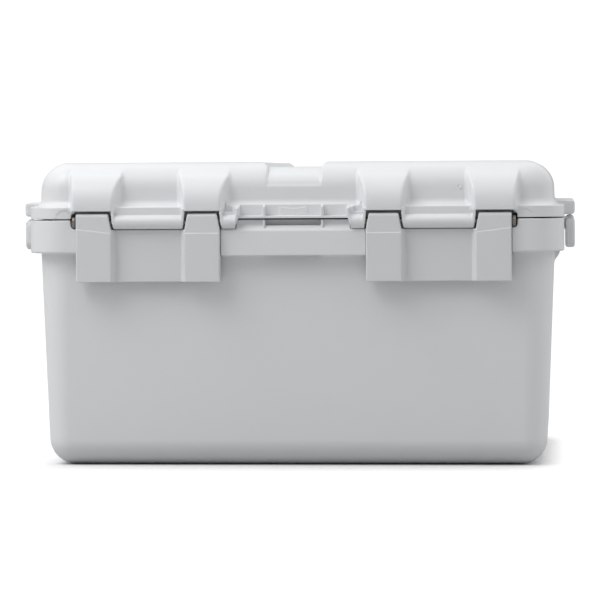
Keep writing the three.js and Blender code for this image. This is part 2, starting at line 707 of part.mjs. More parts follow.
place("base_shell", baseShell(), SHELL);
place("lid_shell", lidShell(), SHELL);
place("rim_seal", sealRing(0, SEAL.bottom, SEAL.top), RUBBER);
place("vent_plug", ventPlug(), LATCH);
place("base_pad", basePad(), FOAM);
place("accessory_tray", lowerTray(), FOAM);
place("drone_tray", upperTray(), FOAM);
place("lid_foam", lidFoam(), FOAM);
for (const [side, sign] of SIDES) {
  place(`latch_${side}`, latch(sign), LATCH);
  place(`latch_pin_${side}`, longPin(sign), STEEL);
  place(`hinge_pin_${side}`, turned(longPin(-sign)), STEEL);
  place(`side_handle_${side}`, sideHandle(sign), LATCH);
  for (const [end, direction] of ENDS) {
    place(`handle_pin_${side}_${end}`, handlePin(sign, direction), STEEL);
  }
}

export default carryingCase;
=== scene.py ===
"""Looks of the hard drone carrying case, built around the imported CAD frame.

Each moulded piece is described by a signed distance in millimetres, with its fillets, and meshed
on a grid that is close-set only where there is detail. Pins and the seal are turned or swept.
"""
import json
import math

import bpy
import numpy as np
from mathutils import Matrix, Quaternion, Vector

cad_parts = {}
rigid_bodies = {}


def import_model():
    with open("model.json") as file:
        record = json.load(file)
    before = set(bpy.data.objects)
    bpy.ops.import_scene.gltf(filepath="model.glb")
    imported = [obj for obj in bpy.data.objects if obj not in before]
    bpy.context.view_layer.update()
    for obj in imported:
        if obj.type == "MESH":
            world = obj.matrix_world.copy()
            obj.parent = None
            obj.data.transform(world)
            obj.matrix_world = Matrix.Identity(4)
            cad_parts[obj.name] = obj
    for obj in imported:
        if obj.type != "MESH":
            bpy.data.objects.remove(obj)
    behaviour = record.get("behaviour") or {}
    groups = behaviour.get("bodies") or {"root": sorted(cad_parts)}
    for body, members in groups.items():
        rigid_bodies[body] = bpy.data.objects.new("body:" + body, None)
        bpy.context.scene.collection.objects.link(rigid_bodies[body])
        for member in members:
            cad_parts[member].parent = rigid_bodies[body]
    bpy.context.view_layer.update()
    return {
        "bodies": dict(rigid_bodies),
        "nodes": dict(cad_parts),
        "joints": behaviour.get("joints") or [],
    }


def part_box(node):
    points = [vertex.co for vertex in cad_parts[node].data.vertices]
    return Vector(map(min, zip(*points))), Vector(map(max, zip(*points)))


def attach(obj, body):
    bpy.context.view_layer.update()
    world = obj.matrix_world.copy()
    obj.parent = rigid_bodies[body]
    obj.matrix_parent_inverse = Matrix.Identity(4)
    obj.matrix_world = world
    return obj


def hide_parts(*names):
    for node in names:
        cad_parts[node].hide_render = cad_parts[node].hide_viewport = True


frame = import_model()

MM = 0.001


# ---------------------------------------------------------------- sizes, in millimetres

def frame_box(node):
    """A CAD node's lowest and highest corners in millimetres."""
    low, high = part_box(node)
    return np.array(low) / MM, np.array(high) / MM


def joint(name):
    """Where a joint's axis runs, in millimetres."""
    found = next(j for j in frame["joints"] if j["name"] == name)
    return np.array(found["pos_m"]) / MM


LID_BOX = frame_box("lid_shell")
LATCH_BOX = frame_box("latch_right")
HANDLE_BOX = frame_box("side_handle_right")
SEAL_BOX = frame_box("rim_seal")
PIN_BOX = frame_box("latch_pin_right")
HANDLE_PIN_BOX = frame_box("handle_pin_right_rear")

# Outlines seen from above: half width, half depth, corner radius
FLANGE = (275.0, 200.0, 42.0)
BAND = (275.2, 200.0, 42.0)
BODY = (264.5, 189.0, 33.0)
TUB = (266.0, 189.0, 33.0)
WALL = 6.0

# Heights
LID_TOP = LID_BOX[1][2]
BAND_BOTTOM = 218.7
BASE_TOP = 252.5
LID_BOTTOM = 253.8
FLANGE_TOP = 266.0
BASE_DRAFT = math.tan(math.radians(2.2))
BASE_FILLET = 26.0
FLOOR = 6.0
DOME_FILLET = 28.0
FLANGE_FILLET = 8.0
CEILING = 306.9
CEILING_FILLET = 22.0
CHANNEL_CEILING = 4.5  # thickness under the strap channel
FLOOR_FILLET = 20.0
LID_LEAN = (273.0, 303.0, 0.035)  # from, to, and how much for each millimetre up

# The knuckles, arms and shoulders along the front; the rear has the same ones
PIVOT_Y, PIVOT_Z = abs(joint("latch_right")[1]), joint("latch_right")[2]
ARM_FACE = -LATCH_BOX[0][1]
ARM_BACK = 192.9
ARM_TOP = LATCH_BOX[1][2]
ARM_BOTTOM = LATCH_BOX[0][2]
ARM_EDGE = 3.6
ARM_LEAN = 3.1  # how far an arm's side leans over beside the knuckles
KNUCKLE_LEAN = 0.78  # share of that lean at a knuckle's end
HUB_RADIUS = 8.7
BARREL_RADIUS = 7.1
INNER_ARM = (74.5, 110.5)
OUTER_ARM = (186.0, 222.0)
BARREL = (112.7, 183.8)
LUG = (58.5, 72.6)
CHEEK = 3.2
PANEL_TOP = 242.6
HINGE_LUG_BOTTOM = BAND_BOTTOM + 4
PANEL_FACE = 197.5
ARM_FLARE = 4.0
SLOT_TOP = 261.5
SHOULDER_TOP = 304.6
SHOULDER_ROUND = 40.0
SHOULDERS = (((74.2, 111.2), (66.3, 117.2)), ((184.4, 225.7), (176.7, 229.0)))
SLOT_MARGIN = 1.8
LUG_FOOT, LUG_HEAD = (59.0, 245.0), (54.8, 258.6)
BORE_RADIUS = 2.8
BORE_X = (62.0, 228.0)
PIN_POCKET = ((219.0, 227.6), (243.9, 259.6))

# Shallow round dish in the flange beside each outer arm: X, Z, radii of its floor and rim
DISH = (234.0, 251.8, 9.7, 11.7)
DISH_DEPTH = 0.9

# Hole for the vent plug: X, Z and radius
VENT_HOLE = (170.0, 284.0, 1.9)

# Catch ledges under the latches' hooks
CATCH_X, CATCH_Z = (118.0, 178.0), (222.0, 230.0)
CATCH_REACH = 192.2
CATCH_SLANT = 1.2  # height that its top gains for each millimetre back

# A latch's crease, and the hollows in its back, as (X, Y, Z) ranges with a web across
CREASE = (238.8, 4.4, 0.55)  # height at its inner end, rise, and depth
ARM_HOLLOWS = ((78.0, 107.5), (189.0, 218.5))
ARM_HOLLOW_REACH, ARM_HOLLOW_Z, ARM_WEB = 203.2, (192.4, 238.0), (214.5, 217.0)
PANEL_HOLLOW_X, PANEL_HOLLOW_REACH = (117.0, 179.0), 194.4
PANEL_HOLLOW_Z, PANEL_WEB = (192.4, 238.5), (213.0, 219.0)

# Centre bay, strap channel and strap slot
CHANNEL_FLOOR = 306.4
CHANNEL_HALF = (27.0, 31.0)
CHANNEL_FLARE = 9.0  # behind the front edge
CHANNEL_FLARE_Y = (130.0, 160.0)
CHANNEL_DEPTH = LID_TOP - CHANNEL_FLOOR
CHANNEL_END = 288.0
BAR_TOP, BAR_BOTTOM, BAR_LEDGE = 241.3, 215.7, 248.4
BAR_HALF = 74.2
BAY_WALL = 194.6
BAY_POCKET = (192.0, 256.2, 270.0)
SLOT_HALF, SLOT_FRONT = 28.5, 194.6
RIB_WIDTH, RIB_REACH, RIB_Z = 2.5, 198.6, (236.0, 260.0)
BAY_OUTER = 54.5
BAY_STEP = (264.4, 105.0, 15.0, 0.5)  # its height, the spread of its curve, half width and depth
NOTCH_X, NOTCH_Z, NOTCH_BACK = (61.6, 70.2), (260.3, 270.0), 194.0

# Side handles
HANDLE_X = (HANDLE_BOX[0][0] - 1.9, HANDLE_BOX[1][0] - 1.0)  # set a little nearer the rim
HANDLE_Z = (HANDLE_BOX[0][2], HANDLE_BOX[1][2])
HANDLE_HALF = HANDLE_BOX[1][1]
HANDLE_PIVOT = (joint("handle_right")[0], joint("handle_right")[2])
HANDLE_LUG = (99.0, 113.6)
HANDLE_LUG_Z = (-5.5, 4.5)  # from the pivot
HANDLE_CORNER, HANDLE_ARM, HANDLE_GRIP = 9.0, 16.0, 15.0
HANDLE_TOP_ROUND = (0.5, 4.9)  # how far below the CAD's top, and radius
HANDLE_BORE_RADIUS = 2.3
WING_Z = (255.8, 270.6)
FINGER_HALF = 97.0
GUSSET_Y = (99.0, 130.0)
GUSSET_REACH = BODY[0] + 6
GUSSET_KNEE, GUSSET_SLANT = 210.5, 0.75  # its side slopes in below the knee


# ---------------------------------------------------------------- signed distances

def rectangle(x, y, outline, inset=0.0):
    """Distance to a rounded rectangle; inset may vary from point to point."""
    half_x, half_y, radius = outline
    qx = np.abs(x) - (half_x - radius)
    qy = np.abs(y) - (half_y - radius)
    corner = np.hypot(np.maximum(qx, 0), np.maximum(qy, 0))
    return corner + np.minimum(np.maximum(qx, qy), 0) - radius + inset


def between(value, low, high):
    """Distance to the slab between two planes."""
    return np.maximum(low - value, value - high)


def both(a, b, radius=0.0):
    """Where two shapes overlap, the edge between their surfaces rounded."""
    if not radius:
        return np.maximum(a, b)
    corner = np.hypot(np.maximum(a + radius, 0), np.maximum(b + radius, 0))
    return np.minimum(np.maximum(a, b), -radius) + corner


def either(a, b, radius=0.0):
    """Two shapes joined, with a fillet in the inner corner between them."""
    return -both(-a, -b, radius)


def without(a, b, radius=0.0):
    """The first shape with the second cut out of it."""
    return both(a, -b, radius)


def block(x, y, z, x_range, y_range, z_range, radius=0.0):
    """A box with rounded edges."""
    flat = both(between(x, *x_range), between(y, *y_range), radius)
    return both(flat, between(z, *z_range), radius)


# ---------------------------------------------------------------- meshing

SPREAD = 0.22  # how fast the grid's step grows away from a zone
SETTLING = 4
LEAST_SLOPE = 0.05


def grid_lines(low, high, coarse, zones):
    """Grid lines close together in the zones, each (from, to, step), and further apart between."""
    marks = [low]
    while marks[-1] < high:
        here = marks[-1]
        steps = [step + SPREAD * max(start - here, here - end, 0) for start, end, step in zones]
        marks.append(here + min([coarse, *steps]))
    return np.array(marks)


def mirrored_lines(end, coarse, zones):
    """The same on both sides of zero."""
    half = grid_lines(0.37, end, coarse, zones)
    return np.concatenate([-half[::-1], half])


def net(distance, lines):
    """Vertices and quads of the zero surface: one vertex in each grid cell that it crosses."""
    values = distance(*np.meshgrid(*lines, indexing="ij", sparse=True))
    values = np.broadcast_to(values, [len(line) for line in lines])
    shape = tuple(n - 1 for n in values.shape)
    total = np.zeros((int(np.prod(shape)), 3))
    count = np.zeros(int(np.prod(shape)))
    quads = []
    for axis in range(3):
        low = np.take(values, range(values.shape[axis] - 1), axis)
        high = np.take(values, range(1, values.shape[axis]), axis)
        at = np.stack(np.nonzero((low < 0) != (high < 0)), 1)
        v0, v1 = low[tuple(at.T)], high[tuple(at.T)]
        share = v0 / (v0 - v1)
        points = np.stack([lines[k][at[:, k]] for k in range(3)], 1)
        along = lines[axis]
        points[:, axis] += share * (along[at[:, axis] + 1] - along[at[:, axis]])
        side, up = (axis + 1) % 3, (axis + 2) % 3
        around = []
        for ds, du in ((0, 0), (1, 0), (1, 1), (0, 1)):
            cell = at.copy()
            cell[:, side] -= 1 - ds
            cell[:, up] -= 1 - du
            flat = np.ravel_multi_index(tuple(np.clip(cell, 0, None).T), shape, mode="clip")
            around.append(flat)
            count += np.bincount(flat, minlength=count.size)
            for k in range(3):
                total[:, k] += np.bincount(flat, points[:, k], count.size)
        ring = np.stack(around, 1)
        quads.append(np.where((v0 < 0)[:, None], ring, ring[:, ::-1]))
    quads = np.concatenate(quads)
    used = np.nonzero(count)[0]
    number = np.full(count.size, -1)
    number[used] = np.arange(used.size)
    return total[used] / count[used, None], number[quads]


def slope(distance, points, reach=0.06):
    """The distance's gradient at the points, by differences."""
    gradient = np.empty_like(points)
    for k in range(3):
        step = np.zeros(3)
        step[k] = reach
        gradient[:, k] = distance(*(points + step).T) - distance(*(points - step).T)
    gradient /= 2 * reach
    return gradient


def settle(distance, points, limit):
    """The points moved onto the zero surface, no further than limit at each step."""
    for _ in range(SETTLING):
        gradient = slope(distance, points)
        size = np.maximum((gradient ** 2).sum(1), LEAST_SLOPE)
        move = np.clip(distance(*points.T) / size, -limit, limit)
        points = points - gradient * move[:, None]
    return points


def new_piece(name, points, faces, material, normals=None):
    """A mesh object from points in millimetres."""
    mesh = bpy.data.meshes.new(name)
    mesh.from_pydata((np.asarray(points) * MM).tolist(), [], [list(map(int, f)) for f in faces])
    mesh.update()
    mesh.materials.append(material)
    mesh.polygons.foreach_set("use_smooth", [True] * len(mesh.polygons))
    if normals is not None:
        size = np.linalg.norm(normals, axis=1, keepdims=True)
        mesh.normals_split_custom_set_from_vertices((normals / np.maximum(size, 1e-9)).tolist())
    piece = bpy.data.objects.new(name, mesh)
    bpy.context.scene.collection.objects.link(piece)
    return piece


def moulded(name, distance, lines, material, limit=1.0, mirror=False):
    """A piece meshed from its distance, its shading taken from the distance's own slope."""
    points, faces = net(distance, lines)
    points = settle(distance, points, limit)
    normals = slope(distance, points, 0.25)
    if mirror:
        points = points * (-1, 1, 1)
        normals = normals * (-1, 1, 1)
        faces = faces[:, ::-1]
    return new_piece(name, points, faces, material, normals)


def finish_piece(piece, body, slot, *nodes):
    """The piece rides on a body and stands for CAD nodes, which are hidden; slot is not used."""
    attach(piece, body)
    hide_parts(*nodes)
    return piece


# ---------------------------------------------------------------- materials

def plastic(name, colour, roughness, grain, grain_height):
    """Moulded plastic: a fine texture, faint flow marks in the colour and uneven gloss."""
    material = bpy.data.materials.new(name)
    material.use_nodes = True
    nodes, links = material.node_tree.nodes, material.node_tree.links
    shader = nodes["Principled BSDF"]
    shader.inputs["IOR"].default_value = 1.5
    where = nodes.new("ShaderNodeTexCoord")
    cloud = nodes.new("ShaderNodeTexNoise")
    cloud.inputs["Scale"].default_value = 9.0
    cloud.inputs["Detail"].default_value = 4.0
    tint = nodes.new("ShaderNodeMix")
    tint.data_type = "RGBA"
    tint.inputs["A"].default_value = (*[c * 0.985 for c in colour], 1)
    tint.inputs["B"].default_value = (*[min(c * 1.012, 1) for c in colour], 1)
    gloss = nodes.new("ShaderNodeMapRange")
    gloss.inputs["To Min"].default_value = roughness - 0.04
    gloss.inputs["To Max"].default_value = roughness + 0.05
    fine = nodes.new("ShaderNodeTexNoise")
    fine.inputs["Scale"].default_value = grain
    fine.inputs["Detail"].default_value = 2.0
    bump = nodes.new("ShaderNodeBump")
    bump.inputs["Strength"].default_value = 0.6
    bump.inputs["Distance"].default_value = grain_height
    links.new(where.outputs["Object"], cloud.inputs["Vector"])
    links.new(where.outputs["Object"], fine.inputs["Vector"])
    links.new(cloud.outputs["Fac"], tint.inputs["Factor"])
    links.new(cloud.outputs["Fac"], gloss.inputs["Value"])
    links.new(tint.outputs["Result"], shader.inputs["Base Color"])
    links.new(gloss.outputs["Result"], shader.inputs["Roughness"])
    links.new(fine.outputs["Fac"], bump.inputs["Height"])
    links.new(bump.outputs["Normal"], shader.inputs["Normal"])
    return material


def steel_material():
    """Drawn steel wire, slightly dull."""
    material = plastic("steel", (0.30, 0.27, 0.25), 0.42, 900.0, 0.00002)
    shader = material.node_tree.nodes["Principled BSDF"]
    shader.inputs["Metallic"].default_value = 1.0
    return material


def foam_material():
    """Open-cell foam: small pits over a dark grey."""
    material = bpy.data.materials.new("foam")
    material.use_nodes = True
    nodes, links = material.node_tree.nodes, material.node_tree.links
    shader = nodes["Principled BSDF"]
    shader.inputs["Roughness"].default_value = 0.95
    where = nodes.new("ShaderNodeTexCoord")
    cells = nodes.new("ShaderNodeTexVoronoi")
    cells.inputs["Scale"].default_value = 520.0
    tint = nodes.new("ShaderNodeValToRGB")
    tint.color_ramp.elements[0].color = (0.012, 0.013, 0.015, 1)
    tint.color_ramp.elements[1].color = (0.055, 0.058, 0.064, 1)
    bump = nodes.new("ShaderNodeBump")
    bump.inputs["Strength"].default_value = 0.7
    bump.inputs["Distance"].default_value = 0.0006
    links.new(where.outputs["Object"], cells.inputs["Vector"])
    links.new(cells.outputs["Distance"], tint.inputs["Fac"])
    links.new(tint.outputs["Color"], shader.inputs["Base Color"])
    links.new(cells.outputs["Distance"], bump.inputs["Height"])
    links.new(bump.outputs["Normal"], shader.inputs["Normal"])
    return material


SHELL = plastic("shell", (0.80, 0.815, 0.83), 0.30, 420.0, 0.00006)
HARDWARE = plastic("hardware_plastic", (0.74, 0.75, 0.76), 0.42, 700.0, 0.00005)
STEEL = steel_material()
RUBBER = plastic("seal", (0.03, 0.03, 0.033), 0.6, 800.0, 0.00004)
FOAM = foam_material()


# ---------------------------------------------------------------- lid shell

def shoulder(ax, w, z, face, foot):
    """One rounded shoulder: sides leaning out towards the dome, a round brow and a flat underside."""
    run = ARM_FACE - BODY[1]
    back = np.minimum(ARM_FACE - w, run)
    lean_in = (face[0] - foot[0]) / run
    lean_out = (foot[1] - face[1]) / run
    inner = (face[0] - lean_in * back - ax) / math.hypot(1, lean_in)
    outer = (ax - face[1] - lean_out * back) / math.hypot(1, lean_out)
    brow = both(w - ARM_FACE, z - SHOULDER_TOP, SHOULDER_ROUND)
    shape = both(np.maximum(inner, outer), brow, 2.2)
    return both(shape, SLOT_TOP - z, 0.5)


def arm_edge(z, edge, direction):
    """The side of a slot or arm: upright low down, leaning over beside the knuckles."""
    rise = np.clip((z - PANEL_TOP) / (ARM_TOP - PANEL_TOP), 0, 1)
    return edge - direction * ARM_LEAN * rise


def knuckle(ax, w, z, inner, outer):
    """A barrel on the pivot, with cheeks at its ends that reach up to the shoulders."""
    barrel = np.hypot(w - PIVOT_Y, z - PIVOT_Z) - BARREL_RADIUS
    front_of_wall = between(w, BODY[1] + 0.6, PIVOT_Y + BARREL_RADIUS)
    upright = both(front_of_wall, between(z, PIVOT_Z, SLOT_TOP + 3), 1.0)
    length = np.maximum(inner - ax, ax - outer)
    cheek = np.maximum(length, -length - CHEEK)
    return both(either(barrel, both(upright, cheek, 0.8), 0.8), length, 0.9)


def pin_bore(w, z):
    return np.hypot(w - PIVOT_Y, z - PIVOT_Z) - BORE_RADIUS


def pin_room(ax, w, z):
    """The long pins' bores and the pockets round their heads."""
    head = both(both(between(ax, *PIN_POCKET[0]), between(z, *PIN_POCKET[1]), 3.0), 186 - w)
    return np.minimum(both(pin_bore(w, z), between(ax, *BORE_X)), head)


def centre_pockets(ax, w, z):
    """Pockets in the flange's face at the centre bay, a low curved step in the middle one, and
    a notch at each end."""
    back, low, high = BAY_POCKET
    height, spread, half, depth = BAY_STEP
    step = np.clip((height + ax ** 2 / spread - z) / 0.8, 0, 1) * np.clip((half - ax) / 1.5, 0, 1)
    deep = both(back + depth * step - w, between(z, low, high), 0.8)
    mid = both(ax - SLOT_HALF, deep, 0.8)
    side = both(between(ax, SLOT_HALF + RIB_WIDTH, BAY_OUTER), deep, 0.8)
    notch = both(both(between(ax, *NOTCH_X), between(z, *NOTCH_Z), 1.2), NOTCH_BACK - w, 0.8)
    return np.minimum(np.minimum(mid, side), notch)


def flange_with_wings(x, y, z):
    """The lid's rim, dished beside the outer arms, and the wings over the side handles."""
    ax, w = np.abs(x), np.abs(y)
    dish_x, dish_z, dish_in, dish_out = DISH
    dish = (dish_out - np.hypot(ax - dish_x, z - dish_z)) / (dish_out - dish_in)
    dish = DISH_DEPTH * np.clip(dish, 0, 1) * np.clip((w - 150) / 20, 0, 1)
    flange = both(rectangle(x, y, FLANGE, dish), z - FLANGE_TOP, 1.2)
    section = both(between(ax, 240, HANDLE_X[1]), between(z, *WING_Z), 3.5)
    wing = both(between(w, -1, HANDLE_HALF), section, 2.0)
    return flange, wing


def knuckles(ax, w, z):
    """The barrel between two arms, and the lug beside the centre bay."""
    lean = KNUCKLE_LEAN
    barrel = knuckle(ax, w, z, arm_edge(z, BARREL[0], lean), arm_edge(z, BARREL[1], -lean))
    taper = np.clip((z - LUG_FOOT[1]) / (LUG_HEAD[1] - LUG_FOOT[1]), 0, 1)
    inner = LUG_FOOT[0] + (LUG_HEAD[0] - LUG_FOOT[0]) * taper
    return barrel, knuckle(ax, w, z, inner, arm_edge(z, LUG[1], -lean))


def strap_channel(ax, w, z, dome):
    """The channel over the lid, which fades out down the dome's front and rear."""
    low, high = CHANNEL_FLARE_Y
    flare = CHANNEL_HALF[1] - CHANNEL_HALF[0] + CHANNEL_FLARE * np.clip((high - w) / (high - low), 0, 1)
    half = CHANNEL_HALF[0] + flare * np.clip((z - CHANNEL_FLOOR) / CHANNEL_DEPTH, 0, 1)
    fade = np.clip((z - CHANNEL_END) / (CHANNEL_FLOOR - CHANNEL_END), 0, 1)
    sunk = dome + CHANNEL_DEPTH * fade * fade * (3 - 2 * fade)
    return both(np.maximum(ax - half, CHANNEL_END - z), -sunk, 1.6)


def lid(x, y, z):
    ax, w = np.abs(x), np.abs(y)
    front = np.where(y < 0, -60.0, 60.0)
    low, high, rate = LID_LEAN
    lean = rate * np.clip(z - low, 0, high - low)
    dome = both(rectangle(x, y, BODY, lean), z - LID_TOP, DOME_FILLET)
    flange, wing = flange_with_wings(x, y, z)
    shape = either(either(dome, flange, FLANGE_FILLET), wing, 1.5)
    for face, foot in SHOULDERS:
        shape = either(shape, shoulder(ax, w, z, face, foot), 3.2)
    shape = both(shape, LID_BOTTOM - z, 0.5)
    shape = without(shape, both(centre_pockets(ax, w, z), front), 0.5)
    # slots for the arms
    for inner, outer in (INNER_ARM, OUTER_ARM):
        slot = both(np.maximum(inner - SLOT_MARGIN - ax, ax - outer - SLOT_MARGIN), BODY[1] - w)
        shape = without(shape, both(slot, z - SLOT_TOP, 0.7), 0.4)
    for part in knuckles(ax, w, z):
        shape = either(shape, part, 0.7)
    shape = without(shape, strap_channel(ax, w, z, dome), 2.6)
    shape = without(shape, pin_room(ax, w, z), 0.5)
    vent_x, vent_z, vent_radius = VENT_HOLE
    vent_hole = np.hypot(x - vent_x, z - vent_z) - vent_radius
    shape = without(shape, np.maximum(vent_hole, y + 170))
    # inside, and the seal's groove
    ceiling = np.where(ax < CHANNEL_HALF[1] + 3, CHANNEL_FLOOR - CHANNEL_CEILING, CEILING)
    hollow = both(rectangle(x, y, BODY, WALL + lean), z - ceiling, CEILING_FILLET)
    shape = without(shape, hollow, 1.0)
    groove = both(np.abs(rectangle(x, y, BODY, WALL / 2)) - 1.8, z - 257.2)
    return without(shape, groove, 0.2)


FEATURES_X = [(52, 78, 1.1), (107, 121, 1.1), (173, 190, 1.1), (218, 232, 1.1), (24, 34, 1.1),
              (0, 16, 2.2), (258, 290, 1.6), (234, 290, 3)]


def lid_lines():
    x = mirrored_lines(290, 7, FEATURES_X)
    y = mirrored_lines(209, 9, [(188, 209, 0.9), (181, 209, 1.2), (127, 133, 1.5), (158, 209, 3)])
    z = grid_lines(240.13, 315, 3, [(253, 274, 0.75), (240, 275, 1.1), (275, 315, 2.0)])
    return x, y, z


# ---------------------------------------------------------------- base shell

def arm(ax, w, z, edges, bottom, lean, face=ARM_FACE):
    """A latch arm or hinge lug: an upright plate with a hub round the pin and a round top edge."""
    hub = np.hypot(w - PIVOT_Y, z - PIVOT_Z) - HUB_RADIUS
    shape = np.minimum(np.minimum(both(ARM_BACK - w, z - PIVOT_Z), hub), PIVOT_Y - w)
    shape = both(shape, both(w - face, z - ARM_TOP, ARM_EDGE), 0.5)
    inner = arm_edge(z, edges[0], -lean[0]) - ax
    outer = ax - arm_edge(z, edges[1], lean[1])
    return both(both(shape, np.maximum(inner, outer), 1.3), bottom - z, 0.8)


ARMS = ((INNER_ARM, (1, 1)), (OUTER_ARM, (1, 0)))


def rim(x, y, z, front):
    """What stands out from the base's wall: the rim band with its cut-outs, and the centre bar."""
    ax, w = np.abs(x), np.abs(y)
    shape = both(rectangle(x, y, BAND), BAND_BOTTOM - z, 2.0)
    bar = both(both(ax - BAR_HALF, w - BAND[1], 1.2), BAR_BOTTOM - z, 1.2)
    shape = np.minimum(shape, np.maximum(bar, front))
    # room for the latches at the front, for the hinges at the rear and for fingers at the sides
    latch_bay = np.maximum(between(ax, INNER_ARM[0] - 0.4, OUTER_ARM[1] + 0.4), front)
    hinge_bay = np.maximum(between(ax, LUG[0] - 1, OUTER_ARM[1] + 0.8), np.maximum(PANEL_TOP - z, -front))
    shape = without(shape, np.minimum(latch_bay, hinge_bay), 0.8)
    shape = without(shape, both(w - FINGER_HALF, BAND_BOTTOM - 6 - z), 2.5)
    # centre bay: the bar's top slopes back to the wall, with two ribs and the strap slot behind it
    fall, rise = BAND[1] - BAY_WALL, BAR_LEDGE - BAR_TOP
    slope_up = ((w - BAND[1]) * rise + (z - BAR_TOP) * fall) / math.hypot(fall, rise)
    open_bay = both(both(ax - INNER_ARM[0], BAY_WALL - w), -slope_up)
    shape = without(shape, np.maximum(open_bay, front), 0.6)
    room = np.hypot(w - PIVOT_Y, z - PIVOT_Z) - BARREL_RADIUS - 0.3
    room = np.minimum(room, both(BODY[1] + 0.3 - w, PIVOT_Z - z))
    room = np.maximum(room, between(ax, LUG[0] - 0.3, INNER_ARM[0]))
    shape = without(shape, np.maximum(room, front))
    slot = both(ax - SLOT_HALF, w - SLOT_FRONT, 0.8)
    shape = without(shape, np.maximum(slot, front), 0.8)
    rib = block(ax, w, z, (SLOT_HALF, SLOT_HALF + RIB_WIDTH), (180, RIB_REACH), RIB_Z, 0.6)
    return np.minimum(shape, np.maximum(rib, front))


def handle_mounts(ax, y, z):
    """The lugs for one side handle's pins, and the gusset under the rim behind it."""
    slant = (ax - GUSSET_REACH + (GUSSET_KNEE - z) * GUSSET_SLANT) / math.hypot(1, GUSSET_SLANT)
    gusset = both(both(np.maximum(ax - GUSSET_REACH, 240 - ax), slant, 2.0), between(y, *GUSSET_Y), 2.0)
    height = between(z - HANDLE_PIVOT[1], *HANDLE_LUG_Z)
    lug = both(both(between(ax, BODY[0], HANDLE_X[1]), height, 4.4), between(np.abs(y), *HANDLE_LUG), 0.8)
    return both(gusset, z - BAND_BOTTOM - 1), lug


def catch_ledge(ax, w, z):
    """What a latch's hook sits under: its top slopes up to the wall."""
    slant = (z - CATCH_Z[1] + (w - CATCH_REACH) * CATCH_SLANT) / math.hypot(1, CATCH_SLANT)
    shape = both(between(w, 180, CATCH_REACH), CATCH_Z[0] - z, 0.8)
    return both(both(shape, slant, 0.8), between(ax, *CATCH_X), 0.8)


def base(x, y, z):
    ax, w = np.abs(x), np.abs(y)
    front = np.where(y < 0, -60.0, 60.0)
    side = rectangle(x, y, TUB, BASE_DRAFT * (LID_BOTTOM - z))
    shape = either(both(side, -z, BASE_FILLET), rim(x, y, z, front), 1.2)
    gusset, lug = handle_mounts(ax, y, z)
    shape = either(either(shape, gusset, 1.5), lug, 1.0)
    shape = both(shape, z - BASE_TOP, 0.8)
    shape = np.minimum(shape, np.maximum(catch_ledge(ax, w, z), front))
    # hinge lugs at the rear, and the bores
    for edges, leans in ARMS:
        hinge_lug = np.maximum(arm(ax, w, z, edges, HINGE_LUG_BOTTOM, leans), -front)
        shape = either(shape, hinge_lug, 0.8)
    bay = between(ax, 62, 218)
    shape = without(shape, np.maximum(np.maximum(pin_bore(w, z), bay), -front))
    shape = without(shape, pin_room(ax, w, z), 0.5)
    pin = np.hypot(ax - HANDLE_PIVOT[0], z - HANDLE_PIVOT[1])
    shape = without(shape, both(pin - HANDLE_BORE_RADIUS, between(w, 98, 115)))
    return without(shape, both(side + WALL, FLOOR - z, FLOOR_FILLET), 1.0)


def base_lines():
    x = mirrored_lines(290, 9, FEATURES_X + [(228, 260, 3.5)])
    y = mirrored_lines(209, 10, [(182, 209, 1.2), (95, 101, 1.5), (112, 132, 1.5), (154, 185, 3.5)])
    z = grid_lines(-2.13, 262, 9, [(200, 262, 1.1), (186, 192, 2), (-3, 30, 3)])
    return x, y, z


# ---------------------------------------------------------------- latches and handles

def latch(x, y, z):
    """The right latch: two arms with a recessed panel between, hollow behind."""
    w = -y
    height, rise, depth = CREASE
    crease = height + rise * np.clip((x - OUTER_ARM[0]) / (OUTER_ARM[1] - OUTER_ARM[0]), 0, 1)
    face = ARM_FACE - depth * np.clip((z - crease) / 0.6, 0, 1)
    panel = both(between(x, 100, 196), both(between(w, ARM_BACK, PANEL_FACE), z - PANEL_TOP, 0.7))
    arms = []
    for (edges, leans), inward in zip(ARMS, (1, -1)):
        plate = arm(x, w, z, edges, ARM_BOTTOM - 5, leans, face)
        past = (x - (edges[1] if inward > 0 else edges[0])) * inward
        flare = (past - (ARM_FACE - w) * ARM_FLARE / (ARM_FACE - PANEL_FACE)) * 0.91
        wedge = both(both(w - face, z - PANEL_TOP, 0.8), flare, 0.9)
        arms.append(np.minimum(plate, np.maximum(wedge, np.maximum(ARM_BACK - w, -past - 8))))
    shape = either(panel, np.minimum(*arms), 0.7)
    shape = both(shape, ARM_BOTTOM - z, 0.8)
    for x_range in ARM_HOLLOWS:
        cell = block(x, w, z, x_range, (180, ARM_HOLLOW_REACH), ARM_HOLLOW_Z, 1.5)
        shape = without(shape, both(cell, -between(z, *ARM_WEB), 0.5), 0.6)
    back = block(x, w, z, PANEL_HOLLOW_X, (180, PANEL_HOLLOW_REACH), PANEL_HOLLOW_Z, 1.0)
    shape = without(shape, both(back, -between(z, *PANEL_WEB), 0.5), 0.6)
    return without(shape, pin_bore(w, z), 0.3)


def latch_lines():
    x = grid_lines(73.07, 224, 3.5, [(73, 80, 0.8), (104, 120, 0.8), (176, 192, 0.8), (216, 224, 0.8)])
    y = grid_lines(-207.61, -188.5, 1.5, [(-208, -188, 0.8)])
    z = grid_lines(188.13, 260.5, 2.5, [(188, 195, 0.8), (210, 222, 0.9), (234, 261, 0.7)])
    return x, y, z


